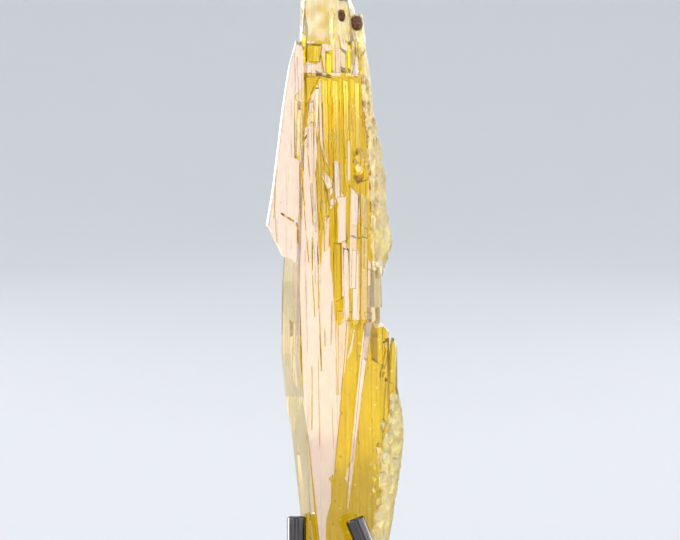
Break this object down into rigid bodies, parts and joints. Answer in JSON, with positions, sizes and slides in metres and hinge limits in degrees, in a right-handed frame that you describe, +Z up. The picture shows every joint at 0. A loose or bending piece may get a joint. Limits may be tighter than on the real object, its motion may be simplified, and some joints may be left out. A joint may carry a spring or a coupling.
{
  "type": "legrandite crystal on a prong stand",
  "caption": "Slender golden-yellow legrandite crystal with flat striated faces, held upright in the prongs of a small polished steel stand.",
  "frame": {"origin": "centre of the underside of the stand's round base", "axes": "+Z up along the crystal, -Y towards the side the crystal's flat faces look, +X to the right seen from there"},
  "size_m": [0.018, 0.018, 0.0476],
  "materials": {
    "legrandite": "clear golden crystal with striated flat faces and frosted edges",
    "iron_oxide": "rough dark brown grain",
    "prong_steel": "polished wire",
    "stand_steel": "turned and polished"
  },
  "bodies": {
    "root": {"crystal": "legrandite", "oxide_grain_right": "iron_oxide", "oxide_grain_left": "iron_oxide", "oxide_grain_top": "iron_oxide", "prong_left": "prong_steel", "prong_front": "prong_steel", "prong_back": "prong_steel", "collar": "stand_steel", "stem": "stand_steel", "base": "stand_steel"}
  },
  "joints": []
}
